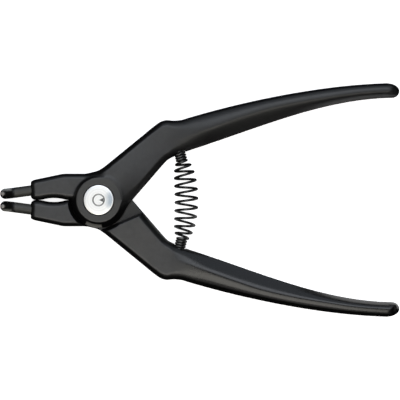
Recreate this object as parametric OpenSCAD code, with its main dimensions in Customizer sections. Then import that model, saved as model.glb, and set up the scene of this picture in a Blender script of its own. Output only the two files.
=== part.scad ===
// Circlip pliers for external rings, with bent tips, lap joint and barrel spring.
// Millimetres. X runs from the hinge to the handles, Z is the hinge axis, Z = 0 is the back boss face.
// The lower lever is the upper lever turned half a turn about X.

/* [Hinge] */
// thickness over both bosses
boss_t = 11; // [10:0.1:12.5]
// diameter of the flat boss face
boss_d = 20; // [19:0.1:20.6]
// diameter of the half-lap disc under the boss
hub_d = 24.8; // [24:0.1:25.2]
// height of the half-lap disc's rim below its sloping side
rim_h = 1.2; // [0.6:0.1:2]
// radial room between a half-lap disc and the other lever's recess wall
recess_room = 1; // [0.6:0.1:1.4]
// room between a half-lap disc and the straight wall in front of the other lever's arm
flank_room = 0.3; // [0.2:0.05:0.8]
// radial width left of the disc outside the boss, where its rim is ground back beside the neck
notch_w = 0.75; // [0.5:0.05:1]
// where the ground-back stretch starts, degrees from +X
notch_from = 240; // [232:1:246]
// length of the ground-back stretch, degrees
notch_span = 36; // [24:1:42]
// width of the hollow skirt from the boss to the jaw's face
skirt_w = 2.2; // [1.6:0.1:2.4]
// gap between the two half-laps
lap_clear = 0.1; // [0.04:0.01:0.3]
// bevel around the boss face
boss_bevel = 0.35; // [0.1:0.05:0.6]
// swing of the handles towards each other, degrees
swing = 30; // [22:1:32]

/* [Rivet] */
// shank diameter
shank_d = 7; // [5:0.1:8.5]
// head diameter
head_d = 13.1; // [11:0.1:14.5]
// depth of the head's pocket in the boss
pocket_depth = 1.2; // [0.8:0.1:1.8]
// gap around the head in its pocket
pocket_clear = 0.25; // [0.1:0.05:0.5]
// height of the front head over the boss face
head_proud = 0.15; // [0:0.05:0.5]
// depth of the back head below the boss face
head_sunk = 0.3; // [0.1:0.05:0.6]
// radial running clearance of the shank
shank_clear = 0.05; // [0.02:0.01:0.09]
// gap under the front head
head_clear = 0.1; // [0.04:0.01:0.3]
// bevel on the edge of both heads
head_bevel = 0.2; // [0.1:0.05:0.4]
// diameter of the turned groove in the head
ring_d = 4.9; // [3.5:0.1:7]
// depth of the groove, and its half width
ring_depth = 0.2; // [0.1:0.05:0.3]

/* [Jaw] */
// hinge axis to jaw end
jaw_len = 30.1; // [28:0.1:34]
// width of one jaw near its end
jaw_end_w = 9; // [8.2:0.1:10]
// width of one jaw at the hinge
jaw_root_w = 11.6; // [11.2:0.1:12.4]
// slope of the jaw's outer edge, degrees
jaw_slope = 11.9; // [9:0.1:14]
// corner radius of the jaw end on the inside
jaw_corner = 2; // [1.2:0.1:2.6]
// jaw thickness
jaw_t = 8; // [7:0.1:9.4]
// gap between the closed jaws
jaw_gap = 0.06; // [0.04:0.02:0.3]
// depth of the hollow between the jaws, in each jaw
hollow_depth = 0.85; // [0.3:0.05:1.2]
// length of the hollow
hollow_len = 11.3; // [8:0.1:13]
// hinge axis to the middle of the hollow
hollow_x = 20; // [19:0.1:21]

/* [Arm] */
// slope of the arm's outer edge, degrees
outer_slope = 39.2; // [37:0.2:41]
// slope of the arm's inner edge, degrees
inner_slope = 49.1; // [47:0.2:51]
// hinge axis to the arm's outer edge
outer_offset = 9.9; // [9.4:0.1:10.6]
// hinge axis to the arm's inner edge
inner_offset = 11; // [10.6:0.1:11.1]
// hinge axis to the elbow along X
elbow_x = 28; // [26:0.1:30]
// arm thickness where it leaves the hinge
arm_t = 10.6; // [9.6:0.1:10.8]
// thickness at the elbow
elbow_t = 9.2; // [8.2:0.1:9.6]
// width of the rounding along the edges of jaw and arm
edge_round = 2.6; // [2:0.1:2.8]

/* [Handle] */
// hinge axis to handle end
reach = 132.1; // [122:0.5:142]
// width over both handle ends
spread = 102.8; // [98.3:0.5:107.3]
// slope of the handle where it leaves the elbow, degrees
handle_slope = 17.4; // [15:0.2:20]
// slope of the handle at its end, degrees
end_slope = 0.8; // [-2:0.2:4]
// handle width after the elbow
handle_w = 13.8; // [12.6:0.1:14.6]
// handle width and thickness at its end
handle_end_d = 6.5; // [5.6:0.1:7.6]
// width of the rounding along the handle's edges after the elbow
handle_round = 3.9; // [3.2:0.1:4.6]
// place of the handle's ridge, as a share of its width from the outer edge
ridge_at = 0.45; // [0.4:0.01:0.6]

/* [Tips] */
// pin diameter
tip_d = 4.6; // [3.8:0.1:5]
// diameter of the ground end
tip_end_d = 1.8; // [1.2:0.1:2.4]
// length of the ground end
tip_end_len = 3.2; // [2:0.1:5]
// bevel of the ground end
tip_bevel = 0.2; // [0.1:0.05:0.4]
// length of the taper
tip_taper = 6.5; // [4:0.1:9]
// bend radius of the pin's axis
tip_bend_r = 4.1; // [3.2:0.1:6]
// straight length between jaw and bend
tip_straight = 6.8; // [5:0.1:9]
// depth of the pin in the jaw
tip_depth = 10; // [7:0.1:12]
// distance of the pin's axis from the centreline at the jaw end
tip_y = 4.17; // [4.05:0.01:4.6]
// slant of the pin towards the centreline, degrees
tip_slant = 7.6; // [3:0.2:8.2]

/* [Spring] */
// wire diameter
wire_d = 1.1; // [0.8:0.05:1.15]
// outside diameter at the middle
spring_d = 10.6; // [8.5:0.1:11]
// outside diameter at the ends
spring_end_d = 5.2; // [5:0.1:5.8]
// open turns
open_turns = 10.5; // [8.5:0.5:11.5]
// close turns at each end
end_turns = 4; // [3:1:6]
// gap between close turns
turn_gap = 0.06; // [0.03:0.01:0.12]
// tilt of the spring's ends, degrees
spring_tilt = 17.6; // [12:0.2:18]
// depth of the spring's seat in the handle
seat_depth = 2; // [1.2:0.1:2.4]
// gap between the spring and the upper seat
seat_gap = 0.05; // [0.02:0.01:0.15]
// gap around the spring's end in its seat
seat_side = 0.25; // [0.1:0.05:0.4]

/* [Spring pegs] */
// peg diameter
peg_d = 2.6; // [2:0.1:2.7]
// length of the peg inside the spring
peg_out = 5; // [3:0.1:6]
// length of the peg in the handle
peg_in = 4; // [3:0.1:5]

/* [Hidden] */
$fn = 96;
cut = 20;
boss_h = boss_t / 2;
boss_r = boss_d / 2;
hub_r = hub_d / 2;
recess_r = hub_r + recess_room;
pocket_z = boss_h - pocket_depth;
flank_angle = inner_slope - swing + 4;
ring_steps = 7;
half_gap = jaw_gap / 2;
end_r = handle_end_d / 2;

// Interpolation and curves.
function mix(a, b, t) = a * (1 - t) + b * t;
function smooth(t) = t * t * (3 - 2 * t);
function bezier(p, t) = mix(mix(mix(p[0], p[1], t), mix(p[1], p[2], t), t),
                            mix(mix(p[1], p[2], t), mix(p[2], p[3], t), t), t);
function bezier_dir(p, t) = let (d = mix(mix(p[1] - p[0], p[2] - p[1], t),
                                         mix(p[2] - p[1], p[3] - p[2], t), t))
    d / norm(d);

// Edges of the upper lever, as functions of X.
function arm_outer(x) = [x, x * tan(outer_slope) + outer_offset / cos(outer_slope)];
function arm_inner(x) = [x, x * tan(inner_slope) - inner_offset / cos(inner_slope)];
function jaw_outer(x) = [x, min(jaw_root_w, jaw_end_w + (x + jaw_len - jaw_corner) * tan(jaw_slope))];
function jaw_inner(x) = [x, half_gap + max(0, hollow_depth * (1 - pow((x + hollow_x) / hollow_len * 2, 2)))];

// One station across the lever: outer point, inner point, half thickness, rounding of either edge.
function station(outer, inner, half_t, outer_round, inner_round) =
    [outer, inner, half_t, outer_round, inner_round];

jaw_end_stations = [for (a = [0:20:80])
    let (x = -jaw_len + jaw_corner * (1 - cos(a)))
    station(jaw_outer(x) - [0, 0.4 * jaw_corner * (1 - sin(a))],
            [x, half_gap + jaw_corner * (1 - sin(a))],
            jaw_t / 2 - 0.3 * jaw_corner * (1 - sin(a)), edge_round, edge_round)];

jaw_stations = [for (i = [0:13])
    let (x = mix(-jaw_len + jaw_corner, -0.88 * boss_r, i / 13))
    station(jaw_outer(x), jaw_inner(x), jaw_t / 2, edge_round, edge_round)];

// Between jaw and arm the stations fan out around the hinge.
arm_foot = inner_offset * [sin(inner_slope), -cos(inner_slope)];
neck_outer = [[-0.65 * boss_r, jaw_root_w], [-0.39 * boss_r, jaw_root_w + 0.03 * boss_r],
              [-0.12 * boss_r, mix(jaw_root_w, arm_outer(0.14 * boss_r)[1], 0.45)],
              arm_outer(0.16 * boss_r) + [0, 0.01 * boss_r]];
neck_inner = [boss_r * [-0.5, -0.2], boss_r * [0.1, -0.6], arm_foot, arm_inner(1.2 * boss_r)];
neck_stations = [for (i = [0:3])
    station(neck_outer[i], neck_inner[i],
            mix(jaw_t, arm_t, smooth((i + 1) / 4)) / 2, edge_round, edge_round)];

arm_stations = [for (i = [0:4])
    let (t = i / 4)
    station(arm_outer(mix(0.41 * boss_r, elbow_x - 0.29 * handle_w, t)),
            arm_inner(mix(1.6 * boss_r, elbow_x, t)),
            mix(arm_t, elbow_t, smooth(t)) / 2, edge_round, edge_round)];

elbow_outer = arm_outer(elbow_x);
elbow_inner = arm_inner(elbow_x);
seat_edge = elbow_inner + handle_w * [0.543, 0.35];
elbow_stations = [
    station(elbow_outer + handle_w * [-0.072, -0.087], elbow_inner + handle_w * [0.159, 0.159],
            elbow_t / 2, 1.08 * edge_round, 1.08 * edge_round),
    station(elbow_outer + handle_w * [0.109, -0.036], elbow_inner + handle_w * [0.348, 0.261],
            elbow_t / 2, 1.2 * edge_round, 1.2 * edge_round),
    station(elbow_outer + handle_w * [0.333, -0.051], seat_edge,
            elbow_t / 2, 1.35 * edge_round, 1.35 * edge_round)];

// The handle's centreline leaves the elbow at handle_slope and levels out at its end.
handle_start = (elbow_outer + elbow_inner) / 2 + handle_w * [0.754, 0.225];
handle_end = [reach - end_r, spread / 2 - end_r];
handle_span = handle_end[0] - handle_start[0];
handle_path = [handle_start, handle_start + 0.39 * handle_span * [cos(handle_slope), sin(handle_slope)],
               handle_end - 0.31 * handle_span * [cos(end_slope), sin(end_slope)], handle_end];
function handle_half_w(t) = mix(end_r, handle_w / 2, (1 + cos(180 * pow(t, 0.85))) / 2);
function ridge_round(w, share, t) = mix(handle_round, 1.9 * w * share, smooth(min(1, 2.5 * t)));
handle_stations = [for (i = [0:20])
    let (t = i / 20, c = bezier(handle_path, t), d = bezier_dir(handle_path, t), w = handle_half_w(t),
         n = [-d[1], d[0]])
    station(c + w * n, c - w * n, mix(elbow_t / 2, end_r, t),
            ridge_round(w, ridge_at, t), ridge_round(w, 1 - ridge_at, t))];

end_stations = [for (a = [18:16:82])
    let (d = bezier_dir(handle_path, 1), c = handle_end + end_r * sin(a) * d, w = end_r * cos(a),
         n = [-d[1], d[0]])
    station(c + w * n, c - w * n, w, ridge_round(w, ridge_at, 1), ridge_round(w, 1 - ridge_at, 1))];

stations = concat(jaw_end_stations, jaw_stations, neck_stations, arm_stations, elbow_stations,
                  handle_stations, end_stations);

// A rounded rectangle between a station's outer and inner point, as a ring of points in space.
function ring(s) = let (c = (s[0] + s[1]) / 2, u = (s[0] - s[1]) / 2, w = norm(u), ry = 0.86 * s[2])
    [for (q = [0:3], k = [0:ring_steps])
        let (a = 90 * (q + k / ring_steps), sx = (q == 0 || q == 3) ? 1 : -1, sz = (q < 2) ? 1 : -1,
             rx = sx > 0 ? s[3] : s[4], along = sx * (w - rx) + rx * cos(a), p = c + u / w * along)
        [p[0], p[1], sz * (s[2] - ry) + ry * sin(a)]];

// A solid through rings of equal point count.
module loft(rings) {
    n = len(rings[0]);
    last = len(rings) - 1;
    polyhedron(
        points = [for (r = rings, p = r) p],
        faces = concat(
            [[for (k = [0:n - 1]) k]],
            [[for (k = [0:n - 1]) last * n + n - 1 - k]],
            [for (i = [0:last - 1], k = [0:n - 1], half = [0, 1])
                let (a = i * n + k, b = i * n + (k + 1) % n)
                half == 0 ? [a, a + n, b + n] : [a, b + n, b]]));
}

// The half-lap disc with its boss and ground-back stretch.
// A hollow skirt runs from the boss to the jaw's face.
module hub() {
    bevel_z = boss_h - boss_bevel;
    skirt_h = bevel_z - jaw_t / 2;
    difference() {
        rotate_extrude()
            polygon([[0, 0], [hub_r, 0], [hub_r, rim_h], [boss_r, bevel_z], [boss_r - boss_bevel, boss_h],
                     [0, boss_h]]);
        rotate([0, 0, notch_from])
            rotate_extrude(angle = notch_span)
                translate([boss_r + notch_w, -cut])
                    square([cut, 2 * cut]);
    }
    rotate([0, 0, 72])
        rotate_extrude(angle = 98)
            polygon(concat([[0, bevel_z]],
                           [for (a = [0:15:90]) [boss_r + skirt_w * (1 - cos(a)),
                                                 jaw_t / 2 + skirt_h * (1 - sin(a))]],
                           [[boss_r + skirt_w, 0], [0, 0]]));
}

// Room for the other lever's half-lap, on the back of the upper lever.
module recess() {
    wall = (hub_r + flank_room) * [sin(flank_angle), cos(flank_angle)];
    far = wall + elbow_x * [cos(flank_angle), -sin(flank_angle)];
    translate([0, 0, -cut])
        linear_extrude(cut + lap_clear / 2) {
            circle(r = recess_r);
            polygon([[0, 0], wall, far, [far[0], -recess_r], [0, -recess_r]]);
        }
}

// Along the pin's axis, outwards from the jaw end.
module at_tip() {
    translate([-jaw_len, tip_y, 0])
        rotate([0, 0, 180 + tip_slant])
            children();
}

// The spring's arc and where it ends: on the upper seat, pointing along the peg into the handle.
peg_dir = [-sin(spring_tilt), cos(spring_tilt)];
seat_r = spring_end_d / 2 + seat_side;
seat_point = seat_edge + seat_depth * peg_dir;
arc_r = seat_point[1] / sin(spring_tilt);
arc_x = seat_point[0] - arc_r * cos(spring_tilt);

// Along the peg's axis, from the seat into the handle.
module at_peg() {
    translate([seat_point[0], seat_point[1], 0])
        rotate([-90, 0, spring_tilt])
            children();
}

module lever() {
    difference() {
        union() {
            loft([for (s = stations) ring(s)]);
            hub();
        }
        recess();
        cylinder(r = shank_d / 2 + shank_clear, h = 2 * cut, center = true);
        translate([0, 0, pocket_z])
            cylinder(r = head_d / 2 + pocket_clear, h = cut);
        at_tip()
            translate([-tip_depth, 0, 0])
                rotate([0, 90, 0])
                    cylinder(d = tip_d, h = cut);
        at_peg()
            rotate_extrude()
                polygon([[0, -cut], [seat_r, -cut], [seat_r, 0], [peg_d / 2, 0], [peg_d / 2, peg_in],
                         [0, peg_in]]);
    }
}

// Pin that leaves the jaw, bends up and ends in a ground point.
module tip() {
    at_tip() {
        translate([-tip_depth, 0, 0])
            rotate([0, 90, 0])
                cylinder(d = tip_d, h = tip_depth + tip_straight);
        translate([tip_straight, 0, tip_bend_r])
            rotate([90, 0, 0])
                rotate([0, 0, -90])
                    rotate_extrude(angle = 90)
                        translate([tip_bend_r, 0])
                            circle(d = tip_d);
        translate([tip_straight + tip_bend_r, 0, tip_bend_r])
            rotate_extrude()
                polygon([[0, 0], [tip_d / 2, 0], [tip_end_d / 2, tip_taper],
                         [tip_end_d / 2, tip_taper + tip_end_len],
                         [tip_end_d / 2 - tip_bevel, tip_taper + tip_end_len + tip_bevel],
                         [0, tip_taper + tip_end_len + tip_bevel]]);
    }
}

module peg() {
    at_peg()
        translate([0, 0, -peg_out])
            rotate_extrude()
                polygon([[0, 0], [peg_d / 2 - 0.4, 0], [peg_d / 2, 0.4], [peg_d / 2, peg_out + peg_in],
                         [0, peg_out + peg_in]]);
}

// Radius and place along the arc of the spring's wire, by turns from the middle.
mid_r = (spring_d - wire_d) / 2;
coil_end_r = (spring_end_d - wire_d) / 2;
half_open = open_turns / 2;
half_turns = half_open + end_turns;
end_pitch = wire_d + turn_gap;
coil_phase = 68;
half_arc = arc_r * spring_tilt * PI / 180 - wire_d / 2 - seat_gap;
open_arc = half_arc - end_turns * end_pitch;
function coil_r(turn) = let (u = min(1, abs(turn) / half_open)) mix(mid_r, coil_end_r, pow(u, 3));
function swept(u) = mid_r * u - (mid_r - coil_end_r) * pow(u, 4) / 4;
function along_arc(turn) = let (u = min(1, abs(turn) / half_open))
    sign(turn) * (open_arc * swept(u) / swept(1) + max(0, abs(turn) - half_open) * end_pitch);
function coil_out(turn) = let (f = along_arc(turn) / arc_r * 180 / PI, a = coil_phase - 360 * turn)
    [cos(a) * cos(f), cos(a) * sin(f), sin(a)];
function coil_point(turn) = let (f = along_arc(turn) / arc_r * 180 / PI)
    [arc_x + arc_r * cos(f), arc_r * sin(f), 0] + coil_r(turn) * coil_out(turn);
function wire_ring(turn) = let (d = coil_point(turn + 0.01) - coil_point(turn - 0.01), e = coil_out(turn),
                                n = cross(d / norm(d), e))
    [for (k = [0:5]) coil_point(turn) + wire_d / 2 * (cos(60 * k) * e + sin(60 * k) * n)];

module spring() {
    steps = round(28 * half_turns);
    loft([for (i = [0:steps]) wire_ring(mix(-half_turns, half_turns, i / steps))]);
}

module at_mid() {
    translate([0, 0, boss_h])
        children();
}

module upper_lever() {
    color([0.16, 0.16, 0.17])
        at_mid()
            lever();
}

module lower_lever() {
    color([0.2, 0.2, 0.21])
        at_mid()
            rotate([180, 0, 0])
                lever();
}

module pivot_rivet() {
    front = boss_h + head_proud;
    back = -boss_h + head_sunk;
    color([0.82, 0.83, 0.85])
        at_mid()
            rotate_extrude()
                polygon([[0, back], [head_d / 2 - head_bevel, back], [head_d / 2, back + head_bevel],
                         [head_d / 2, -pocket_z], [shank_d / 2, -pocket_z],
                         [shank_d / 2, pocket_z + head_clear],
                         [head_d / 2, pocket_z + head_clear], [head_d / 2, front - head_bevel],
                         [head_d / 2 - head_bevel, front], [ring_d / 2 + ring_depth, front],
                         [ring_d / 2, front - ring_depth], [ring_d / 2 - ring_depth, front],
                         [0, front]]);
}

module upper_tip() {
    color([0.13, 0.13, 0.14])
        at_mid()
            tip();
}

module lower_tip() {
    color([0.13, 0.13, 0.14])
        at_mid()
            mirror([0, 1, 0])
                tip();
}

module return_spring() {
    color([0.1, 0.1, 0.1])
        at_mid()
            spring();
}

module upper_spring_peg() {
    color([0.12, 0.12, 0.12])
        at_mid()
            peg();
}

module lower_spring_peg() {
    color([0.12, 0.12, 0.12])
        at_mid()
            mirror([0, 1, 0])
                peg();
}

upper_lever();
lower_lever();
pivot_rivet();
upper_tip();
lower_tip();
return_spring();
upper_spring_peg();
lower_spring_peg();
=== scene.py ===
"""Circlip pliers: the visible pieces, their materials, the lights and the camera.

Lengths are in millimetres from the hinge's middle until a mesh is made, in metres in the CAD frame.
The levers are smooth surfaces of a distance function: the plan outline with rounded edges, the hinge
disc melted into it, and the machined cuts taken off.
"""

import math

import bpy
import numpy as np
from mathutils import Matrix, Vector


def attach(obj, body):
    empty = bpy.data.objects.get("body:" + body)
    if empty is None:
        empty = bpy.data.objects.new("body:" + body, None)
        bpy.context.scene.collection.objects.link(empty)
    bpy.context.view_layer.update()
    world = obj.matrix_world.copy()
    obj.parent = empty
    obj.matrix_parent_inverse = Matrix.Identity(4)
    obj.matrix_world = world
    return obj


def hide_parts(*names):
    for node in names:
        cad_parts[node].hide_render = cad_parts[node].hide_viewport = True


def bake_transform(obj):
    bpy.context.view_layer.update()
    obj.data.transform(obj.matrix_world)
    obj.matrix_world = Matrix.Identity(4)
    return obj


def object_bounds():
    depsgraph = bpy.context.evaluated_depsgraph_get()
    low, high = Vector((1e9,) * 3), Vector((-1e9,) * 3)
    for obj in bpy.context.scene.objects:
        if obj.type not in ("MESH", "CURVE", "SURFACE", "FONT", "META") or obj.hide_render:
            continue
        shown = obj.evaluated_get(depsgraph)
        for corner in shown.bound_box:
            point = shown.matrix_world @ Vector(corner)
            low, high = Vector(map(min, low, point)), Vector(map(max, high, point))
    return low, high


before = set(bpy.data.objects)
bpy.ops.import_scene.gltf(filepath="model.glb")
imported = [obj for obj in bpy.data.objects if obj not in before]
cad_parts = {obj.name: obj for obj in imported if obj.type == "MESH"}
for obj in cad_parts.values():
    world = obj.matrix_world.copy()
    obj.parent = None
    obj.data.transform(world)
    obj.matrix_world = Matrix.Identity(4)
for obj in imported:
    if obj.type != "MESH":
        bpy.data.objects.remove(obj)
cad_low, cad_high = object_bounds()

MM = 0.001
TINY = 1e-12

# Hinge
BOSS_H = 5.5
BOSS_R = 10.0
BOSS_BEVEL = 0.35
HUB_R = 12.4
HUB_FOOT = 0.3
RIM_H = 1.2
RIM_UNDERCUT = 0.3
RECESS_GAP = 0.07
RECESS_LEAN = 0.27
FLANK_OFFSET = 12.5
FLANK_LEAN = 0.16
FLANK_SPARE = 4
NOTCH_R = 10.75
NOTCH_FROM = 240
NOTCH_TO = 276
HALF_LAP_GAP = 0.05
SWING = 30
# Rivet
SHANK_R = 3.5
BORE_R = 3.55
HEAD_R = 6.55
POCKET_R = 6.8
POCKET_Z = 4.3
HEAD_FRONT = 5.65
HEAD_BACK = -5.2
HEAD_UNDER = 4.4
HEAD_BEVEL = 0.2
RING_R = 2.45
RING_HALF_W = 0.3
RING_DEPTH = 0.2
# Jaw
JAW_LEN = 30.1
JAW_END_W = 9.0
JAW_ROOT_W = 11.6
JAW_ROOT_X = -8.8
JAW_SLOPE = 11.9
JAW_CORNER = 2.0
CORNER_LEAN = 0.4
JAW_HALF_T = 4.0
HOLLOW_DEPTH = 0.85
HOLLOW_LEN = 11.3
HOLLOW_X = 20.0
# Arm
OUTER_SLOPE = 39.2
INNER_SLOPE = 49.1
OUTER_OFFSET = 9.9
INNER_OFFSET = 11.0
ELBOW_X = 28.0
ARM_HALF_T = 5.3
ELBOW_HALF_T = 4.6
EDGE_ROUND = 2.6
ARM_ROUND = 0.4
ARM_DROP = 0.86
CREASE = 0.12
SHOULDER_DROP = 0.15
ROOT_DIP = 0.25
ROOT_ROUND = 1.2
ROOT_FLATTEN = 0.3
# Handle
REACH = 132.1
HALF_SPREAD = 51.4
HANDLE_SLOPE = 17.4
END_SLOPE = 0.8
HANDLE_W = 13.8
END_R = 3.25
NOSE_LEN = 5.9
NOSE_DROP = 0.45
HANDLE_ROUND = 3.9
GRIP_ROUND = 7.0
GRIP_DROP = 0.95
ROUND_LIMIT = 0.94
RIDGE = 0.54
RIDGE_SHIFT = 0.12
RIDGE_SHIFT_X = 74.0
RIDGE_SHIFT_LEN = 22.0
FLANK_SOFT = 2.2
FLANK_FALL = 0.93
EDGE_ROLL = 1.3
CAP_FROM = 122.0
CAP_TO = 127.0
# Elbow: points of its two edges from the ends of the arm's, in handle widths, and growth of the edge rounding
SEAT_SHARE = (0.543, 0.35)
ELBOW_BEND = (
    ((-0.072, -0.087), (0.159, 0.159), 1.08),
    ((0.109, -0.036), (0.348, 0.261), 1.2),
    ((0.333, -0.051), SEAT_SHARE, 1.35),
)
HANDLE_START = (0.754, 0.225)
# Edges and blends of the levers
FLAT_EDGE = 0.12
BOSS_EDGE = 0.15
RIM_EDGE = 0.4
NOTCH_EDGE = 0.3
CUT_EDGE = 0.35
POCKET_EDGE = 0.2
BORE_EDGE = 0.1
HUB_BLEND = 0.4
JAW_BLEND = 0.5
ARM_BLEND = 1.8
CUTTER_PAST = 20.0
# Tips
TIP_R = 2.3
TIP_END_R = 0.9
TIP_END_LEN = 3.2
TIP_BEVEL = 0.2
TIP_TAPER = 6.5
TAPER_EASE = 0.25
TIP_BEND_R = 4.1
TIP_STRAIGHT = 6.8
TIP_DEPTH = 10.0
TIP_Y = 4.17
TIP_SLANT = 7.6
# Spring
WIRE_R = 0.55
COIL_MID_R = 4.75
COIL_END_R = 2.05
OPEN_TURNS = 10.5
END_TURNS = 4
END_PITCH = 1.16
COIL_PHASE = 68
SPRING_TILT = 17.6
SEAT_DEPTH = 2.0
SEAT_GAP = 0.05
SEAT_R = 2.85
PEG_R = 1.3
PEG_IN = 4.0
# Mesh fineness
OUTLINE_STEP = 0.6
SHARP_ANGLE = 40
AXIS_R = 0.02
RIVET_SIDES = 96
PIN_SIDES = 40
WIRE_SIDES = 12
STEPS_PER_TURN = 36


def tan(a):
    return math.tan(math.radians(a))


def direction(a):
    """Unit vector in the plane at a degrees from +X."""
    return np.array([math.cos(math.radians(a)), math.sin(math.radians(a))])


def mix(a, b, t):
    return a * (1 - t) + b * t


def smooth(t):
    t = np.clip(t, 0, 1)
    return t * t * (3 - 2 * t)


def fade(value, start, end):
    """0 up to the start, 1 from the end on and smooth in between; the start may be the larger."""
    return smooth((value - start) / (end - start))


# Plan of the upper lever: its two edges, half thickness and edge rounding at stations from jaw to handle end.


def arm_outer(x):
    return np.array([x, x * tan(OUTER_SLOPE) + OUTER_OFFSET / math.cos(math.radians(OUTER_SLOPE))])


def arm_inner(x):
    return np.array([x, x * tan(INNER_SLOPE) - INNER_OFFSET / math.cos(math.radians(INNER_SLOPE))])


def jaw_outer(x):
    return np.array([x, min(JAW_ROOT_W, JAW_END_W + (x + JAW_LEN - JAW_CORNER) * tan(JAW_SLOPE))])


def jaw_inner(x):
    return np.array([x, max(0, HOLLOW_DEPTH * (1 - ((x + HOLLOW_X) / HOLLOW_LEN * 2) ** 2))])


def bezier(p, t):
    a, b, c = (mix(p[i], p[i + 1], t) for i in range(3))
    return mix(mix(a, b, t), mix(b, c, t), t)


def bezier_normal(p, t):
    a, b, c = (p[i + 1] - p[i] for i in range(3))
    d = mix(mix(a, b, t), mix(b, c, t), t)
    return np.array([-d[1], d[0]]) / np.linalg.norm(d)


elbow_outer = arm_outer(ELBOW_X)
elbow_inner = arm_inner(ELBOW_X)
seat_edge = elbow_inner + HANDLE_W * np.array(SEAT_SHARE)


def jaw_rows():
    rows = []
    for a in np.radians(range(0, 81, 20)):
        drop = JAW_CORNER * (1 - math.sin(a))
        x = -JAW_LEN + JAW_CORNER * (1 - math.cos(a))
        rows.append((jaw_outer(x) - [0, CORNER_LEAN * drop], np.array([x, drop]), JAW_HALF_T, EDGE_ROUND))
    for x in np.linspace(-JAW_LEN + JAW_CORNER, JAW_ROOT_X, 14):
        rows.append((jaw_outer(x), jaw_inner(x), JAW_HALF_T, EDGE_ROUND))
    return rows


def neck_rows():
    """Beside the hinge, where the outer edge bends into the arm and the inner one passes the boss."""
    outer = [(-0.65 * BOSS_R, JAW_ROOT_W),
             (-0.39 * BOSS_R, JAW_ROOT_W + 0.03 * BOSS_R),
             (-0.12 * BOSS_R, mix(JAW_ROOT_W, arm_outer(0.14 * BOSS_R)[1], 0.45)),
             arm_outer(0.16 * BOSS_R) + [0, 0.01 * BOSS_R]]
    inner = [(-0.5 * BOSS_R, -0.2 * BOSS_R),
             (0.1 * BOSS_R, -0.6 * BOSS_R),
             -INNER_OFFSET * direction(INNER_SLOPE + 90),
             arm_inner(1.2 * BOSS_R)]
    half_t = mix(JAW_HALF_T, ARM_HALF_T, smooth(np.arange(1, 5) / 4))
    return [(np.array(outer[i]), np.array(inner[i]), half_t[i], EDGE_ROUND) for i in range(4)]


def arm_rows():
    rows = []
    for t in np.linspace(0, 1, 5):
        rows.append((arm_outer(mix(0.41 * BOSS_R, ELBOW_X - 0.29 * HANDLE_W, t)),
                     arm_inner(mix(1.6 * BOSS_R, ELBOW_X, t)),
                     mix(ARM_HALF_T, ELBOW_HALF_T, smooth(t)), EDGE_ROUND))
    for out, inn, widen in ELBOW_BEND:
        rows.append((elbow_outer + HANDLE_W * np.array(out), elbow_inner + HANDLE_W * np.array(inn),
                     ELBOW_HALF_T, widen * EDGE_ROUND))
    return rows


def handle_rows():
    """Along a curve from the elbow to the round end, each row square to the curve."""
    rows = []
    start = (elbow_outer + elbow_inner) / 2 + HANDLE_W * np.array(HANDLE_START)
    end = np.array([REACH - END_R, HALF_SPREAD - END_R])
    span = end[0] - start[0]
    leave = start + 0.39 * span * direction(HANDLE_SLOPE)
    arrive = end - 0.31 * span * direction(END_SLOPE)
    path = [start, leave, arrive, end]
    for t in np.linspace(0, 1, 41):
        w = mix(END_R, HANDLE_W / 2, (1 + math.cos(math.pi * t**0.85)) / 2)
        n = bezier_normal(path, t)
        c = bezier(path, t)
        edge = min(mix(HANDLE_ROUND, GRIP_ROUND, smooth(2.5 * t)), ROUND_LIMIT * w)
        rows.append((c + w * n, c - w * n, mix(ELBOW_HALF_T, END_R, t), edge))
    n = bezier_normal(path, 1)
    for a in np.radians(range(10, 81, 10)):
        w = END_R * math.cos(a)
        c = end + END_R * math.sin(a) * np.array([n[1], -n[0]])
        rows.append((c + w * n, c - w * n, END_R, ROUND_LIMIT * END_R))
    return rows


def into_nose(x):
    """How far along the handle's nose a place is, from 0 at its start to 1 at the very end."""
    return np.clip((x - REACH + NOSE_LEN) / NOSE_LEN, 0, 1)


def lever_stations():
    """Rows of outer point, inner point, half thickness and edge rounding; the nose's outer edge is oval."""
    rows = jaw_rows() + neck_rows() + arm_rows() + handle_rows()
    for outer, *_ in rows:
        oval = math.sqrt(1 - into_nose(outer[0]) ** 2)
        outer[1] = min(outer[1], HALF_SPREAD - (END_R + NOSE_DROP) * (1 - oval))
    return rows


def spline(points, step):
    """Points about step apart on a centripetal Catmull-Rom curve through the given ones."""
    p = np.vstack([2 * points[0] - points[1], points, 2 * points[-1] - points[-2]])
    out = []
    for i in range(1, len(p) - 2):
        q = p[i - 1:i + 3]
        k = np.concatenate([[0], np.cumsum(np.linalg.norm(np.diff(q, axis=0), axis=1) ** 0.5)])
        n = max(1, int(math.ceil(np.linalg.norm(q[2] - q[1]) / step)))
        t = np.linspace(k[1], k[2], n, endpoint=False)[:, None]
        a = [((k[j + 1] - t) * q[j] + (t - k[j]) * q[j + 1]) / (k[j + 1] - k[j]) for j in range(3)]
        b = [((k[j + 2] - t) * a[j] + (t - k[j]) * a[j + 1]) / (k[j + 2] - k[j]) for j in range(2)]
        out.append(((k[2] - t) * b[0] + (t - k[1]) * b[1]) / (k[2] - k[1]))
    return np.vstack(out + [p[-2:-1]])


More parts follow.
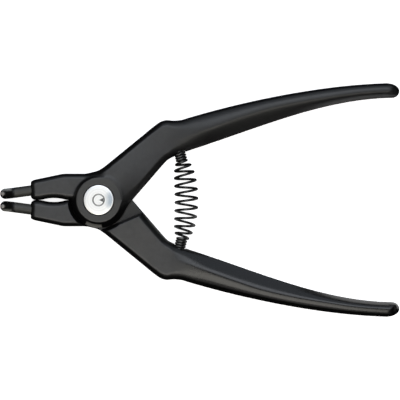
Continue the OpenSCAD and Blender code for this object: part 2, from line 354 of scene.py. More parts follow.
class PlanField:
    """The lever's plan on a fine grid in X and Y.

    Its values are the distance inside the outline, half thickness, edge rounding, and the distances from the
    outer and the inner edge.
    """

    STEP = 0.25
    LOW = (-33.0, -16.0)
    HIGH = (135.0, 54.0)
    BATCHES = 40

    def __init__(self):
        rows = lever_stations()
        outer = spline(np.array([r[0] for r in rows]), OUTLINE_STEP)
        inner = spline(np.array([r[1] for r in rows]), OUTLINE_STEP)
        self.outline = np.vstack([outer, inner[::-1]])
        self.outer_count = len(outer)
        self.middle = np.array([(r[0] + r[1]) / 2 for r in rows])
        self.along = np.array([(r[2], r[3]) for r in rows])
        x = np.arange(self.LOW[0], self.HIGH[0], self.STEP)
        y = np.arange(self.LOW[1], self.HIGH[1], self.STEP)
        points = np.stack(np.meshgrid(x, y, indexing="ij"), -1).reshape(-1, 2)
        parts = [self.measure(p) for p in np.array_split(points, self.BATCHES)]
        self.values = np.vstack(parts).reshape(len(x), len(y), 5)

    def measure(self, p):
        """The five values at points p, worked out from the outline."""
        a, b = self.outline, np.roll(self.outline, -1, 0)
        edge = b - a
        rel = p[:, None] - a
        t = np.clip((rel * edge).sum(-1) / np.maximum((edge**2).sum(-1), TINY), 0, 1)
        away = np.sqrt(((rel - t[..., None] * edge) ** 2).sum(-1))
        from_outer = away[:, :self.outer_count - 1].min(1)
        from_inner = away[:, self.outer_count:-1].min(1)
        away = away.min(1)
        crosses = (a[:, 1] > p[:, 1:]) != (b[:, 1] > p[:, 1:])
        rise = np.where(np.abs(edge[:, 1]) < TINY, TINY, edge[:, 1])
        left_of = p[:, :1] < a[:, 0] + (p[:, 1:] - a[:, 1]) * edge[:, 0] / rise
        within = (crosses & left_of).sum(1) % 2 == 1
        m, n = self.middle[:-1], self.middle[1:]
        step = n - m
        rel = p[:, None] - m
        t = np.clip((rel * step).sum(-1) / np.maximum((step**2).sum(-1), TINY), 0, 1)
        nearest = ((rel - t[..., None] * step) ** 2).sum(-1).argmin(1)
        t = t[np.arange(len(p)), nearest][:, None]
        along = mix(self.along[nearest], self.along[nearest + 1], t)
        return np.column_stack([np.where(within, away, -away), along, from_outer, from_inner])

    def __call__(self, x, y):
        """The five values at x and y, read off between the grid's points."""
        u = (x - self.LOW[0]) / self.STEP
        v = (y - self.LOW[1]) / self.STEP
        i = np.clip(u.astype(int), 0, self.values.shape[0] - 2)
        j = np.clip(v.astype(int), 0, self.values.shape[1] - 2)
        u, v = (u - i)[..., None], (v - j)[..., None]
        low = mix(self.values[i, j], self.values[i + 1, j], u)
        high = mix(self.values[i, j + 1], self.values[i + 1, j + 1], u)
        return np.moveaxis(mix(low, high, v), -1, 0)


def smooth_min(a, b, k):
    """The smaller of two distances, with their meeting rounded over a width k."""
    h = np.maximum(k - np.abs(a - b), 0) / k
    return np.minimum(a, b) - h * h * k / 4


def smooth_max(a, b, k):
    return -smooth_min(-a, -b, k)


def side_of(x, y, a):
    """Distance to the left of the line from the hinge that leaves at a degrees from +X."""
    return y * math.cos(math.radians(a)) - x * math.sin(math.radians(a))


def rod_distance(x, y, z, point, heading, low, high, radius):
    """Distance to a round bar in the middle plane, from low to high along its heading."""
    along = (x - point[0]) * heading[0] + (y - point[1]) * heading[1]
    across = (y - point[1]) * heading[0] - (x - point[0]) * heading[1]
    return np.maximum(np.hypot(across, z) - radius, np.maximum(low - along, along - high))


peg_heading = direction(90 + SPRING_TILT)
seat_point = seat_edge + SEAT_DEPTH * peg_heading
tip_heading = direction(180 + TIP_SLANT)


def handle_section(x, inset, from_outer, from_inner):
    """Square of how far a handle's section has fallen off across it: oval outside, a flat flank inside."""
    width = np.maximum(from_outer + from_inner, 1)
    ridge = RIDGE - RIDGE_SHIFT * np.exp(-(((x - RIDGE_SHIFT_X) / RIDGE_SHIFT_LEN) ** 2))
    outwards = np.maximum(ridge * width - from_outer, 0)
    inwards = np.maximum(from_outer - ridge * width, 0)
    outer = (outwards / (ridge * width)) ** 2
    whole_fall = np.hypot((1 - ridge) * width, FLANK_SOFT) - FLANK_SOFT
    fall = FLANK_FALL * (np.hypot(inwards, FLANK_SOFT) - FLANK_SOFT) / whole_fall
    inner = 1 - np.clip(1 - fall, 0, 1) ** 2
    edge = np.maximum(1 - inset / EDGE_ROLL, 0) ** 2
    cap = fade(x, CAP_FROM, CAP_TO) * np.maximum(1 - inset / (ROUND_LIMIT * END_R), 0) ** 2
    across = np.maximum(np.maximum(outer, inner), np.maximum(edge, cap))
    return across + into_nose(x) ** 2 * np.maximum(1 - across, 0)


def forged_body(plan, x, z, r, angle):
    """The forging before its hinge is added: the plan's outline, rounded over to the flats."""
    inset, half_t, rounding, from_outer, from_inner = plan
    height = np.abs(z)
    near_hinge = fade(r, 20, 12)
    past_notch = fade(angle, -60, -40)
    inner_side = fade(from_outer - from_inner, -3, 3)
    on_arm = fade(x, 2, 10)
    on_grip = fade(x, 30, 50)
    half_t = mix(half_t, JAW_HALF_T, near_hinge * fade(angle, 68, 78))
    half_t = mix(half_t, BOSS_H - SHOULDER_DROP, near_hinge * fade(angle, 22, 48) * fade(angle, 106, 72))
    half_t = half_t - ROOT_DIP * near_hinge * fade(angle, 34, 10) * past_notch
    crease = CREASE * fade(rounding, 3.9, 2.9) * (1 - inner_side)
    root = near_hinge * fade(angle, 45, 15) * past_notch
    rounding = rounding + on_arm * (ARM_ROUND + ROOT_ROUND * inner_side * root)
    power = 2 - ROOT_FLATTEN * inner_side * on_arm * (1 - on_grip)
    drop = half_t * mix(ARM_DROP, GRIP_DROP, on_grip)
    a = np.maximum((rounding - inset) / rounding, 0) ** 2
    a = mix(a, handle_section(x, inset, from_outer, from_inner), on_grip)
    b = np.maximum((height - half_t - crease + drop) / drop, 0) ** 2
    reach = (a ** (power / 2) + b ** (power / 2)) ** (1 / power)
    body = (reach - 1) * (a * rounding + b * drop + TINY) / (a + b + TINY)
    return smooth_max(body, height - half_t, FLAT_EDGE)


def hinge_hub(x, y, z, r):
    """The disc round the hinge: a boss with a sloping side, an undercut rim and a notch in the rim."""
    lean = np.array([BOSS_H - BOSS_BEVEL - RIM_H, HUB_R - BOSS_R])
    lean = lean / np.linalg.norm(lean)
    cone = lean[0] * (r - HUB_R) + lean[1] * (z - RIM_H)
    bevel = (r + z - BOSS_R - BOSS_H + BOSS_BEVEL) * math.sqrt(0.5)
    rim = r - HUB_R + RIM_UNDERCUT * np.maximum(RIM_H - z, 0)
    hub = np.maximum(smooth_max(np.maximum(cone, bevel), rim, RIM_EDGE), -z - HUB_FOOT)
    wedge = np.maximum(side_of(x, y, NOTCH_TO), -side_of(x, y, NOTCH_FROM))
    hub = smooth_max(hub, -np.maximum(NOTCH_R - r, wedge), NOTCH_EDGE)
    return np.maximum(hub, z - BOSS_H)


def lap_room(x, y, z, r):
    """What is cut off below the lap plane: a recess round the other hub, and the other arm's swing."""
    depth = np.maximum(HALF_LAP_GAP - z, 0)
    recess = r - HUB_R - RECESS_GAP - RECESS_LEAN * depth
    flank = -side_of(x, y, SWING - INNER_SLOPE - FLANK_SPARE + 180) - FLANK_OFFSET - FLANK_LEAN * depth
    return np.maximum(np.minimum(recess, np.maximum(flank, -x)), z - HALF_LAP_GAP)


def lever_distance(plan, x, y, z):
    """Below zero inside the upper lever, about a distance near its surface."""
    r = np.hypot(x, y)
    angle = np.degrees(np.arctan2(y, x))
    jaw_side = fade(angle, 62, 82) * fade(angle, 178, 166)
    arm_side = fade(angle, -30, 0) * fade(angle, 82, 62)
    blend = HUB_BLEND + JAW_BLEND * jaw_side + ARM_BLEND * arm_side
    solid = smooth_min(forged_body(plan, x, z, r, angle), hinge_hub(x, y, z, r), blend)
    solid = smooth_max(solid, z - BOSS_H, BOSS_EDGE)
    solid = smooth_max(solid, -lap_room(x, y, z, r), CUT_EDGE)
    solid = smooth_max(solid, BORE_R - r, BORE_EDGE)
    solid = smooth_max(solid, -np.maximum(r - POCKET_R, POCKET_Z - z), POCKET_EDGE)
    socket = rod_distance(x, y, z, (-JAW_LEN, TIP_Y), tip_heading, -TIP_DEPTH, CUTTER_PAST, TIP_R)
    solid = smooth_max(solid, -socket, POCKET_EDGE)
    seat = rod_distance(x, y, z, seat_point, peg_heading, -CUTTER_PAST, 0, SEAT_R)
    solid = smooth_max(solid, -seat, POCKET_EDGE)
    hole = rod_distance(x, y, z, seat_point, peg_heading, -CUTTER_PAST, PEG_IN, PEG_R)
    return smooth_max(solid, -hole, BORE_EDGE)


def surface_net(axes, f):
    """Vertices and quads of the surface f = 0 on a grid with those axes."""
    inside = f < 0
    cells = np.array([len(a) - 1 for a in axes])
    ids, places, flips = [], [], []
    for axis in range(3):
        others = [(axis + 1) % 3, (axis + 2) % 3]
        first = np.take(inside, np.arange(cells[axis]), axis)
        second = np.take(inside, np.arange(1, cells[axis] + 1), axis)
        at = np.argwhere(first != second)
        at = at[np.all((at[:, others] > 0) & (at[:, others] < cells[others]), 1)]
        upper = at.copy()
        upper[:, axis] += 1
        f0, f1 = f[tuple(at.T)], f[tuple(upper.T)]
        place = np.column_stack([axes[k][at[:, k]] for k in range(3)])
        place[:, axis] += (axes[axis][upper[:, axis]] - place[:, axis]) * f0 / (f0 - f1)
        around = []
        for i, j in ((0, 0), (1, 0), (1, 1), (0, 1)):
            cell = at.copy()
            cell[:, others[0]] -= i
            cell[:, others[1]] -= j
            around.append((cell[:, 0] * cells[1] + cell[:, 1]) * cells[2] + cell[:, 2])
        ids.append(np.column_stack(around))
        places.append(place)
        flips.append(f0 > 0)
    quads, place, flip = np.vstack(ids), np.vstack(places), np.concatenate(flips)
    _, index = np.unique(quads, return_inverse=True)
    index = index.reshape(quads.shape)
    count = np.bincount(index.ravel())
    corners = np.repeat(place, 4, 0)
    verts = np.column_stack([np.bincount(index.ravel(), corners[:, k]) / count for k in range(3)])
    index[flip] = index[flip][:, ::-1]
    return verts, index


def settle(verts, quads, distance):
    """Evens out the vertices and puts them on the surface itself."""
    rounds = 3
    evening = 0.4
    probe = 0.02
    flattest = 0.05
    longest = 0.3
    for turn in range(rounds):
        if turn < rounds - 1:
            total = np.zeros_like(verts)
            count = np.zeros(len(verts))
            for k in range(4):
                np.add.at(total, quads[:, k], verts[quads[:, (k + 1) % 4]] + verts[quads[:, k - 1]])
                np.add.at(count, quads[:, k], 2)
            verts = mix(verts, total / count[:, None], evening)
        for _ in range(2):
            value = distance(verts)
            rise = [distance(verts + d) - distance(verts - d) for d in np.eye(3) * probe]
            slope = np.column_stack(rise) / (2 * probe)
            step = value[:, None] * slope / np.maximum((slope**2).sum(1), flattest)[:, None]
            verts = verts - np.clip(step, -longest, longest)
    return verts


def graded(*stretches):
    """Grid lines from (start, step) stretches; the last row gives the end."""
    lines = [np.arange(a, b, step) for (a, step), (b, _) in zip(stretches, stretches[1:])]
    return np.concatenate(lines + [[stretches[-1][0]]])


def lever_mesh():
    """Vertices and quads of the upper lever, from a grid that is finest at the hinge."""
    plan = PlanField()
    along = graded((-31.5, 0.45), (-14.4, 0.3), (17, 0.5), (42, 0.8), (124, 0.4), (133.5, 0))
    across = graded((-14.5, 0.3), (14, 0.45), (53, 0))
    through = graded((-6, 0.3), (6, 0))
    x, y = np.meshgrid(along, across, indexing="ij")
    layers = plan(x, y)
    f = np.stack([lever_distance(layers, x, y, np.full_like(x, z)) for z in through], -1)
    verts, quads = surface_net((along, across, through), f)

    def distance(p):
        return lever_distance(plan(p[:, 0], p[:, 1]), p[:, 0], p[:, 1], p[:, 2])

    return settle(verts, quads, distance), quads


# Meshes


def make(name, verts, faces, material, body, node, slot):
    """A smooth-shaded piece that stands for a CAD node; verts are in millimetres from the hinge's middle."""
    mesh = bpy.data.meshes.new(name)
    verts = (np.asarray(verts, float) + [0, 0, BOSS_H]) * MM
    mesh.from_pydata(verts.tolist(), [], [list(map(int, f)) for f in faces])
    mesh.validate()
    for p in mesh.polygons:
        p.use_smooth = True
    mesh.set_sharp_from_angle(angle=math.radians(SHARP_ANGLE))
    mesh.materials.append(material)
    piece = bpy.data.objects.new(name, mesh)
    bpy.context.scene.collection.objects.link(piece)
    if body:
        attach(piece, body)
    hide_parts(node)
    return piece


def sweep(rings):
    """Vertices and faces of a closed tube through rings of equal point count."""
    rings = np.asarray(rings)
    count, n = rings.shape[:2]
    k = np.arange(n)
    faces = [[i * n + a, i * n + b, (i + 1) * n + b, (i + 1) * n + a]
             for i in range(count - 1) for a, b in zip(k, (k + 1) % n)]
    faces += [list(k[::-1]), list((count - 1) * n + k)]
    return rings.reshape(-1, 3), faces


def circle_ring(centre, u, v, radius, sides):
    a = np.linspace(0, 2 * math.pi, sides, endpoint=False)[:, None]
    return centre + radius * (np.cos(a) * u + np.sin(a) * v)


def lathe(profile, sides):
    """Turned shape from (radius, height) points, from the bottom's middle round to the top's middle."""
    x, y, up = np.eye(3)
    return sweep([circle_ring(h * up, x, y, max(r, AXIS_R), sides) for r, h in profile])


def rivet_mesh():
    """Shank with a bevelled head at each end, and a groove in the face of the front one."""
    quarter = np.linspace(0, math.pi / 2, 4)
    back = [(HEAD_R - HEAD_BEVEL * (1 - math.sin(a)), HEAD_BACK + HEAD_BEVEL * (1 - math.cos(a)))
            for a in quarter]
    shank = [(HEAD_R, -POCKET_Z), (SHANK_R, -POCKET_Z), (SHANK_R, HEAD_UNDER), (HEAD_R, HEAD_UNDER)]
    front = [(HEAD_R - HEAD_BEVEL * (1 - math.cos(a)), HEAD_FRONT - HEAD_BEVEL * (1 - math.sin(a)))
             for a in quarter]
    groove = [(RING_R + RING_HALF_W * math.cos(a), HEAD_FRONT - RING_DEPTH * math.sin(a))
              for a in np.linspace(0, math.pi, 7)]
    back_face = [(r, HEAD_BACK) for r in (0, 4.0)]
    front_face = [(r, HEAD_FRONT) for r in (5.0, 3.6)]
    profile = back_face + back + shank + front + front_face + groove + [(0, HEAD_FRONT)]
    return lathe(profile, RIVET_SIDES)


def tip_radius(h):
    """Radius at a height over the bend: an eased taper, then the ground end."""
    t = min(h / TIP_TAPER, 1)
    return mix(TIP_R, TIP_END_R, mix(t, smooth(t), TAPER_EASE))


def tip_mesh(side):
    """Pin with its bend, taper and ground end; side is 1 for the upper jaw and -1 for the lower."""
    heading = np.array([tip_heading[0], side * tip_heading[1], 0])
    up = np.array([0, 0, 1.0])
    across = np.cross(up, heading)
    start = np.array([-JAW_LEN, side * TIP_Y, 0])
    top = TIP_TAPER + TIP_END_LEN
    heights = [*np.linspace(0, TIP_TAPER, 14)[1:], *np.linspace(TIP_TAPER + 0.2, top, 6)]
    end_steps = ((0.5, 0.15), (0.85, 0.5), (1, 1), (1, 2.2), (1, 3.6))
    rows = [(s, 0, 0, TIP_R) for s in np.linspace(-TIP_DEPTH, TIP_STRAIGHT, 12)]
    rows += [(TIP_STRAIGHT, a, 0, TIP_R) for a in np.linspace(0, 90, 15)[1:]]
    rows += [(TIP_STRAIGHT, 90, h, tip_radius(h)) for h in heights]
    rows += [(TIP_STRAIGHT, 90, top + TIP_BEVEL * h, TIP_END_R - TIP_BEVEL * r) for h, r in end_steps]
    rings = []
    for along, turn, rise, radius in rows:
        bend = math.radians(turn)
        centre = start + (along + TIP_BEND_R * math.sin(bend)) * heading
        centre = centre + (TIP_BEND_R * (1 - math.cos(bend)) + rise) * up
        outwards = math.cos(bend) * up - math.sin(bend) * heading
        rings.append(circle_ring(centre, across, outwards, radius, PIN_SIDES))
    return sweep(rings)


# The spring's arc between its seats.
arc_r = seat_point[1] / math.sin(math.radians(SPRING_TILT))
arc_x = seat_point[0] - arc_r * math.cos(math.radians(SPRING_TILT))
half_open = OPEN_TURNS / 2
half_turns = half_open + END_TURNS
open_arc = arc_r * math.radians(SPRING_TILT) - WIRE_R - SEAT_GAP - END_TURNS * END_PITCH


def coil_swept(u):
    """Arc taken up to a share u of the open turns, which lie closer as the coil narrows."""
    return COIL_MID_R * u - (COIL_MID_R - COIL_END_R) * u**4 / 4


def spring_mesh():
    """Wire of a barrel coil along the arc, with close-wound ends."""
    turn = np.linspace(-half_turns, half_turns, int(2 * half_turns * STEPS_PER_TURN))
    u = np.minimum(1, np.abs(turn) / half_open)
    radius = mix(COIL_MID_R, COIL_END_R, u**3)[:, None]
    along = open_arc * coil_swept(u) / coil_swept(1) + np.maximum(0, np.abs(turn) - half_open) * END_PITCH
    f = np.sign(turn) * along / arc_r
    a = np.radians(COIL_PHASE - 360 * turn)
    out = np.column_stack([np.cos(a) * np.cos(f), np.cos(a) * np.sin(f), np.sin(a)])
    path = np.column_stack([arc_x + arc_r * np.cos(f), arc_r * np.sin(f), 0 * f]) + radius * out
    ahead = np.gradient(path, axis=0)
    ahead /= np.linalg.norm(ahead, axis=1)[:, None]
    side = np.cross(ahead, out)
    return sweep([circle_ring(p, e, s, WIRE_R, WIRE_SIDES) for p, e, s in zip(path, out, side)])


# Materials

COAT_DARK = (0.0015, 0.0015, 0.0016)
COAT_LIGHT = (0.003, 0.003, 0.003)
# Painted highlight of the coat's flats that face up.
COAT_PAINTED_HIGHLIGHT = (0.044, 0.044, 0.0455)
BOSS_TURNED = (0.036, 0.0355, 0.0335)
NOTCH_FLOOR = (0.135, 0.132, 0.120)
STEEL_LIGHT = (0.88, 0.88, 0.875)
STEEL_DULL = (0.78, 0.78, 0.775)
# Painted shade on the rivet's head: its right-hand sector, its groove and a wedge inside the groove.
STEEL_SECTOR_SHADE = (0.40, 0.45, 0.50)
STEEL_GROOVE_SHADE = (0.10, 0.10, 0.095)
STEEL_DISH_SHADE = (0.06, 0.06, 0.06)
PIN_DARK = (0.030, 0.030, 0.026)
PIN_LIGHT = (0.055, 0.054, 0.048)
# Painted shade past the pin's bend, and a painted highlight on the bend's outer side.
PIN_BEND_SHADE = (0.003, 0.003, 0.003)
PIN_PAINTED_HIGHLIGHT = (0.50, 0.50, 0.47)
PIN_GROUND = (0.22, 0.21, 0.20)
WIRE_DARK = (0.003, 0.003, 0.003)
WIRE_LIGHT = (0.008, 0.008, 0.008)
# Painted highlight on the tops of the spring's end turns.
WIRE_PAINTED_HIGHLIGHT = (0.16, 0.16, 0.155)


def set_range(node, low, high, to_low, to_high):
    for key, number in zip(("From Min", "From Max", "To Min", "To Max"), (low, high, to_low, to_high)):
        node.inputs[key].default_value = number


class Surface:
    """A Principled material with the nodes that vary it."""

    def __init__(self, name, **sockets):
        self.material = bpy.data.materials.new(name)
        self.material.use_nodes = True
        self.nodes = self.material.node_tree.nodes
        self.links = self.material.node_tree.links
        self.shader = next(n for n in self.nodes if n.type == "BSDF_PRINCIPLED")
        for key, value in sockets.items():
            self.shader.inputs[key.replace("_", " ")].default_value = value
        where = self.nodes.new("ShaderNodeTexCoord")
        self.place, self.normal = where.outputs["Object"], where.outputs["Normal"]

    def noise(self, scale, detail=3, roughness=0.5, stretch=None):
        """Noise between 0 and 1 over the piece, with scale in features per millimetre."""
        node = self.nodes.new("ShaderNodeTexNoise")
        node.inputs["Scale"].default_value = scale / MM
        node.inputs["Detail"].default_value = detail
        node.inputs["Roughness"].default_value = roughness
        place = self.place
        if stretch:
            mapping = self.nodes.new("ShaderNodeMapping")
            mapping.inputs["Scale"].default_value = stretch
            self.links.new(place, mapping.inputs["Vector"])
            place = mapping.outputs["Vector"]
        self.links.new(place, node.inputs["Vector"])
        return node.outputs["Fac"]

    def math(self, kind, a, b=None):
        node = self.nodes.new("ShaderNodeMath")
        node.operation = kind
        for socket, value in zip(node.inputs, (a, b)):
            if isinstance(value, (int, float)):
                socket.default_value = value
            elif value is not None:
                self.links.new(value, socket)
        return node.outputs[0]

    def axis(self, name, of=None):
        split = self.nodes.new("ShaderNodeSeparateXYZ")
        self.links.new(of or self.place, split.inputs[0])
        return split.outputs[name]

    def hinge_radius(self):
        x, y = self.axis("X"), self.axis("Y")
        return self.math("SQRT", self.math("ADD", self.times(x, x), self.times(y, y)))

    def rings(self, radius, pitch):
        """A wave outwards from the hinge, with its pitch in millimetres."""
        return self.math("SINE", self.times(radius, 2 * math.pi / (pitch * MM)))

    def times(self, product, *factors):
        for factor in factors:
            product = self.math("MULTIPLY", product, factor)
        return product

    def span(self, value, low, high, to_low=0.0, to_high=1.0):
        """The value's stretch from low to high brought to another stretch, and held at its ends."""
        node = self.nodes.new("ShaderNodeMapRange")
        set_range(node, low, high, to_low, to_high)
        self.links.new(value, node.inputs["Value"])
        return node.outputs["Result"]

    def ramp(self, value, first, last):
        """A colour that goes from one (place, colour) stop to another with the value."""
        node = self.nodes.new("ShaderNodeValToRGB")
        for mark, (place, colour) in zip(node.color_ramp.elements, (first, last)):
            mark.position = place
            mark.color = (*colour, 1)
        self.links.new(value, node.inputs["Fac"])
        return node.outputs["Color"]

    def tint(self, value, colour, other):
        """A colour that turns into another one where the value nears 1."""
        node = self.nodes.new("ShaderNodeMix")
        node.data_type = "RGBA"
        self.links.new(value, node.inputs["Factor"])
        self.links.new(colour, node.inputs["A"])
        node.inputs["B"].default_value = (*other, 1)
        return node.outputs["Result"]

    def bump(self, height, strength, distance):
        node = self.nodes.new("ShaderNodeBump")
        node.inputs["Strength"].default_value = strength
        node.inputs["Distance"].default_value = distance * MM
        self.links.new(height, node.inputs["Height"])
        if self.shader.inputs["Normal"].links:
            self.links.new(self.shader.inputs["Normal"].links[0].from_socket, node.inputs["Normal"])
        self.links.new(node.outputs["Normal"], self.shader.inputs["Normal"])

    def drive(self, socket, value):
        self.links.new(value, self.shader.inputs[socket])


def black_coat():
    """Satin black coating over a forging, smoother on the handles.

    Up to the elbow the flats that face up carry a painted highlight, less of it beside the boss and least at
    the inner root of the arm, where a painted shade lies. It is turned in rings on the boss. The floor of the
    hub's notch is lighter.
    """
    s = Surface("lever_finish", IOR=1.5)
    x = s.axis("X")
    above = s.math("SUBTRACT", s.axis("Z"), BOSS_H * MM)
    lift = s.math("ABSOLUTE", above)
    away = s.math("ABSOLUTE", s.axis("Y"))
    radius = s.hinge_radius()
    mottle = s.noise(0.35, 4, 0.6)
    slope = math.radians(INNER_SLOPE)
    from_inner = s.math("SUBTRACT", s.times(away, math.cos(slope)), s.times(x, math.sin(slope)))
    own_side = s.span(s.times(s.axis("Y"), above), 0, MM * MM)
    # painted shade at the inner root of the arm: it dims the painted highlight and roughens the coat there
    root = s.times(s.span(from_inner, 2 * MM, -7 * MM), s.span(radius, 26 * MM, 12 * MM, 0.45, 1.0), own_side)
    # painted highlight: flats facing up, up to the elbow, are painted grey for the light they catch; sunken
    # lap floors stay dark as in shade
    painted_highlight = s.times(s.span(s.math("ABSOLUTE", s.axis("Z", s.normal)), 0.93, 0.99),
                     s.span(x, 45 * MM, 30 * MM),
                     s.span(lift, 2.5 * MM, 3.2 * MM),
                     s.span(mottle, 0.3, 0.7, 0.75, 1.0),
                     s.span(x, -10 * MM, -16 * MM, 0.82, 1.0),
                     s.span(root, 0, 1, 1.0, 0.1))
    on_boss = s.times(s.span(lift, 5.3 * MM, 5.4 * MM), s.span(radius, 9.9 * MM, 9.6 * MM))
    in_notch = s.times(s.span(lift, 0.4 * MM, 0.3 * MM), s.span(radius, 12.2 * MM, 12 * MM),
                       s.span(away, 9 * MM, 9.2 * MM))
    tone = s.ramp(mottle, (0.3, COAT_DARK), (0.7, COAT_LIGHT))
    tone = s.tint(painted_highlight, tone, COAT_PAINTED_HIGHLIGHT)
    tone = s.tint(on_boss, tone, BOSS_TURNED)
    s.drive("Base Color", s.tint(in_notch, tone, NOTCH_FLOOR))
    gloss = s.math("ADD", s.span(x, 30 * MM, 50 * MM, 0.36, 0.22), s.times(root, 0.3))
    s.drive("Roughness", s.math("ADD", gloss, s.span(s.noise(0.9, 3), 0.3, 0.7, -0.03, 0.03)))
    s.bump(s.times(s.rings(radius, 0.8), on_boss), 0.25, 0.02)
    s.bump(s.noise(2.6, 3, 0.6), 0.04, 0.02)
    s.bump(s.noise(0.12, 2), 0.08, 0.12)
    return s.material


def bright_steel():
    """Turned bright steel with tool marks, and painted shade: a bluish sector to the right, the groove and a
    wedge inside it.
    """
    s = Surface("bright_steel", Metallic=1.0)
    x = s.axis("X")
    away = s.math("ABSOLUTE", s.axis("Y"))
    radius = s.hinge_radius()
    # painted shade: the head's right-hand sector is tinted a darker bluish grey
    shade_sector = s.times(s.span(s.math("DIVIDE", x, radius), 0.70, 0.97),
                     s.span(radius, 2.6 * MM, 4.8 * MM), s.span(radius, 6.2 * MM, 5.9 * MM))
    # painted shade darkens the groove
    groove_shade = s.span(s.math("ABSOLUTE", s.math("SUBTRACT", radius, RING_R * MM)), 0.45 * MM, 0.10 * MM)
    # painted shade: a dark wedge inside the groove, on the dish's right
    dish_shade = s.times(s.span(s.math("SUBTRACT", s.times(x, 0.5), away), 0, 0.25 * MM),
                   s.span(x, 2.3 * MM, 1.9 * MM))
    marks = s.rings(radius, 1.1)
    wear = s.span(s.math("ADD", marks, s.noise(0.5, 3)), -1, 2)
    tone = s.ramp(wear, (0.0, STEEL_LIGHT), (1.0, STEEL_DULL))
    tone = s.tint(shade_sector, tone, STEEL_SECTOR_SHADE)
    tone = s.tint(s.times(groove_shade, 0.75), tone, STEEL_GROOVE_SHADE)
    s.drive("Base Color", s.tint(s.times(dish_shade, 0.95), tone, STEEL_DISH_SHADE))
    s.drive("Roughness", s.span(s.noise(1.2, 3), 0.3, 0.7, 0.32, 0.42))
    s.bump(s.math("ADD", marks, s.times(s.rings(radius, 0.17), 0.3)), 0.06, 0.02)
    return s.material


def blackened_steel():
    """Blackened pin steel, drawn along its length.

    Past the bend it carries a painted shade, with a painted highlight on the outer side of the bend, and it
    is bare at the ground ends.
    """
    s = Surface("blackened_steel", IOR=1.5)
    x = s.axis("X")
    streak = s.noise(0.9, 4, 0.6, (0.15, 1, 1))
    # painted shade: the pin past its bend is painted near black
    painted_bend_shade = s.span(x, -36.7 * MM, -37.3 * MM)
    # painted highlight on the outer side of the bend
    painted_highlight = s.times(s.span(s.math("ABSOLUTE", s.axis("Y")), 3.7 * MM, 4.5 * MM),
                     s.span(x, -38 * MM, -39.4 * MM))
    bare = s.span(s.axis("Z"), 15.6 * MM, 16.6 * MM)
    tone = s.ramp(streak, (0.3, PIN_DARK), (0.7, PIN_LIGHT))
    tone = s.tint(painted_bend_shade, tone, PIN_BEND_SHADE)
    tone = s.tint(painted_highlight, tone, PIN_PAINTED_HIGHLIGHT)
    s.drive("Base Color", s.tint(bare, tone, PIN_GROUND))
    s.drive("Metallic", bare)
    s.drive("Roughness", s.span(streak, 0.3, 0.7, 0.42, 0.55))
    s.bump(streak, 0.10, 0.03)
    return s.material


def spring_wire():
    """Black spring wire with drawing marks, and a painted highlight on top of the turns near its ends."""
    s = Surface("spring_wire", IOR=1.55)
    streak = s.noise(1.6, 3, 0.6)
    away = s.math("ABSOLUTE", s.axis("Y"))
    facing = s.math("SUBTRACT", s.times(s.axis("Z", s.normal), 0.95), s.times(s.axis("X", s.normal), 0.30))
    # painted highlight on the tops of the end turns, which face the light
    painted_highlight = s.times(s.span(away, 16.2 * MM, 16.8 * MM), s.span(away, 20.5 * MM, 19.9 * MM),
                     s.span(facing, 0.85, 0.99))
    tone = s.ramp(streak, (0.3, WIRE_DARK), (0.7, WIRE_LIGHT))
    s.drive("Base Color", s.tint(painted_highlight, tone, WIRE_PAINTED_HIGHLIGHT))
    s.drive("Roughness", s.span(streak, 0.3, 0.7, 0.24, 0.36))
    s.bump(streak, 0.08, 0.02)
    return s.material


coat = black_coat()
steel = bright_steel()
pin_steel = blackened_steel()
wire = spring_wire()

verts, quads = lever_mesh()
make("upper_lever_forging", verts, quads, coat, "upper", "upper_lever", "lever_finish")
make("lower_lever_forging", verts * [1, -1, -1], quads, coat, "lower", "lower_lever", "lever_finish")
make("upper_pin", *tip_mesh(1), pin_steel, "upper", "upper_tip", "blackened_steel")
make("lower_pin", *tip_mesh(-1), pin_steel, "lower", "lower_tip", "blackened_steel")
make("rivet", *rivet_mesh(), steel, "lower", "pivot_rivet", "bright_steel")

spring = make("barrel_spring", *spring_mesh(), wire, None, "return_spring", "spring_wire")
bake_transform(spring)

for node in ("upper_spring_peg", "lower_spring_peg"):
    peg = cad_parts[node]
    peg.data.materials.clear()
    peg.data.materials.append(pin_steel)

# Floor, lights and camera; from here on, lengths are in metres unless they are times MM.

FLOOR_HALF = 4.0
FLOOR_DROP = 0.05 * MM
FLOOR_GREY = (0.92, 0.92, 0.92, 1)
FLOOR_GLOW = 0.9
COOL = (0.88, 0.93, 1.0)
BLUER = (0.80, 0.88, 1.0)
WARM = (1.0, 0.97, 0.90)
PALE = (1.0, 0.98, 0.93)
WHITE = (1.0, 1.0, 1.0)
VIEW_X = 44.3 * MM
HALF_VIEW = 88 * MM


def plain_floor():
    """White ground that the camera sees and the pliers don't mirror."""
    corners = [(-FLOOR_HALF, -FLOOR_HALF, 0), (FLOOR_HALF, -FLOOR_HALF, 0),
               (FLOOR_HALF, FLOOR_HALF, 0), (-FLOOR_HALF, FLOOR_HALF, 0)]
    mesh = bpy.data.meshes.new("floor")
    mesh.from_pydata(corners, [], [(0, 1, 2, 3)])
    floor = bpy.data.objects.new("floor", mesh)
    floor.location.z = cad_low.z - FLOOR_DROP
    bpy.context.scene.collection.objects.link(floor)
    s = Surface("floor", Roughness=0.9, Specular_IOR_Level=0.0)
    s.shader.inputs["Base Color"].default_value = FLOOR_GREY
    s.shader.inputs["Emission Color"].default_value = (*WHITE, 1)
    s.shader.inputs["Emission Strength"].default_value = FLOOR_GLOW
    mesh.materials.append(s.material)
    floor.visible_glossy = False
    floor.visible_diffuse = False


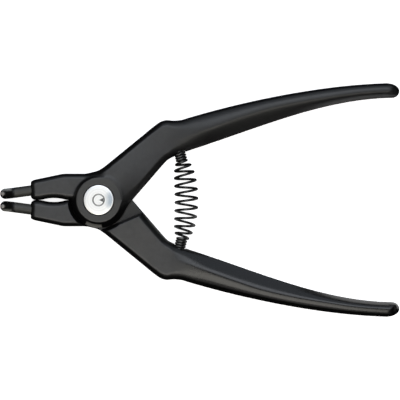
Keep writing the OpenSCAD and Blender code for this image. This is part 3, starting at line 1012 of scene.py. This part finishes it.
def softbox(name, place, target, size, power, colour):
    """Rectangular light of a size along X and across, facing its target, unseen by the camera."""
    light = bpy.data.lights.new(name, "AREA")
    light.shape = "RECTANGLE"
    light.size, light.size_y = size
    light.energy = power
    light.color = colour
    lamp = bpy.data.objects.new(name, light)
    lamp.location = place
    back = np.array(place) - np.array(target)
    lamp.rotation_euler = (-math.atan2(back[1], back[2]), math.atan2(back[0], abs(back[2])), 0)
    lamp.visible_camera = False
    bpy.context.scene.collection.objects.link(lamp)


def table_glow(name, x, y, size, power):
    """Light that the table throws back up between the handles."""
    softbox(name, (x, y, cad_low.z), (x, y, 1), size, power, WHITE)


def studio_world():
    """A dim surrounding, a little brighter below the horizon."""
    world = bpy.data.worlds.new("studio")
    bpy.context.scene.world = world
    world.use_nodes = True
    sky = world.node_tree
    way = sky.nodes.new("ShaderNodeSeparateXYZ")
    sky.links.new(sky.nodes.new("ShaderNodeTexCoord").outputs["Generated"], way.inputs[0])
    fade_up = sky.nodes.new("ShaderNodeMapRange")
    set_range(fade_up, -0.25, 0.05, 0.02, 0.006)
    sky.links.new(way.outputs["Z"], fade_up.inputs["Value"])
    sky.links.new(fade_up.outputs["Result"], sky.nodes["Background"].inputs["Color"])


def overhead_camera():
    camera = bpy.data.cameras.new("camera")
    camera.lens = 150
    camera.sensor_width = 36
    camera.clip_end = 50
    eye = bpy.data.objects.new("camera", camera)
    eye.location = (VIEW_X, 0, BOSS_H * MM + HALF_VIEW * camera.lens / (camera.sensor_width / 2))
    bpy.context.scene.collection.objects.link(eye)
    bpy.context.scene.camera = eye


plain_floor()
softbox("cool_light", (0.13, 0.86, 1.2), (0.13, 0.86, 0), (1.06, 0.88), 8.0, COOL)
softbox("cool_light_edge", (0.13, 0.275, 1.2), (0.13, 0.275, 0), (1.06, 0.29), 2.0, COOL)
softbox("warm_light", (-0.03, -0.615, 1.2), (-0.03, -0.615, 0), (0.76, 0.97), 6.9, WARM)
softbox("low_light", (0.38, 1.5, 0.7), (0.38, 0, 0), (2.1, 1.0), 5.0, BLUER)
softbox("near_low_light", (0.12, -1.5, 1.1), (0.12, 0, 0), (1.3, 0.6), 1.3, PALE)
softbox("jaw_end_light", (-1.6, 0, 0.6), (0, 0, 0), (0.8, 2.0), 2.0, WHITE)
softbox("handle_end_light", (1.8, 0, 0.6), (0, 0, 0), (0.8, 2.0), 1.0, WHITE)
table_glow("table_glow", 0.13, -0.012, (0.13, 0.07), 0.055)
table_glow("table_glow_near", 0.046, -0.017, (0.045, 0.03), 0.002)
studio_world()
overhead_camera()
bpy.context.scene.view_settings.view_transform = "Standard"
